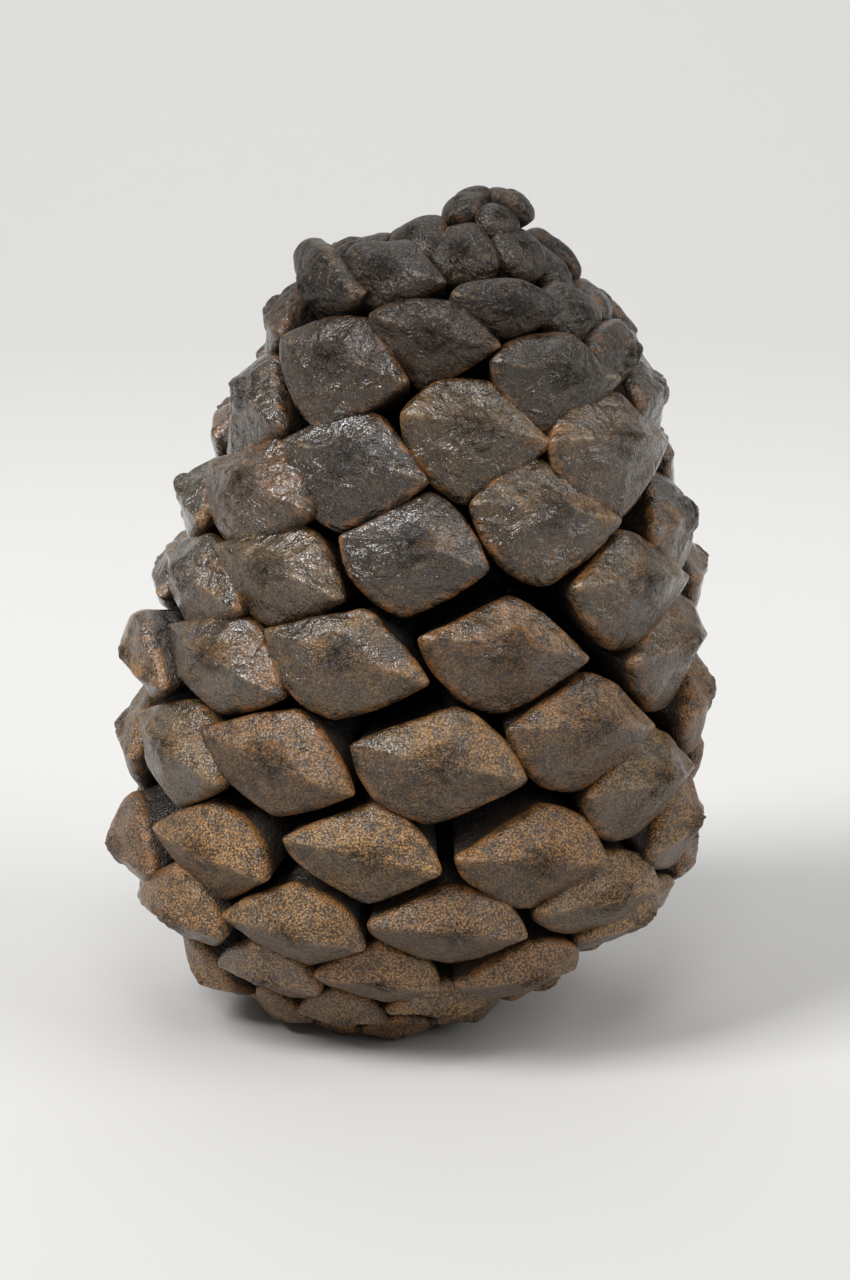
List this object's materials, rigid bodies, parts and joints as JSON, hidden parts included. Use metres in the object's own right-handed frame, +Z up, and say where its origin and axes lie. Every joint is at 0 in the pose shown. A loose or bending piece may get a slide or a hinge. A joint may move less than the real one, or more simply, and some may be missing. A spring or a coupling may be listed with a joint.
{
  "type": "pine cone",
  "caption": "Egg-shaped stone pine cone with thick rhombic scales on a spiral, each with a ridge and an umbo, half open low down.",
  "frame": {"origin": "middle of the bounding box at the rest plane", "axes": "+Z up, from the scar of the stalk towards the tip; -Y is the side that the picture shows; +X is to the right in it"},
  "size_m": [0.0876, 0.0842, 0.1213],
  "materials": {
    "cone_wood": "woody scales, satin resin sheen"
  },
  "bodies": {
    "root": {"pine_cone": "cone_wood"}
  },
  "joints": []
}
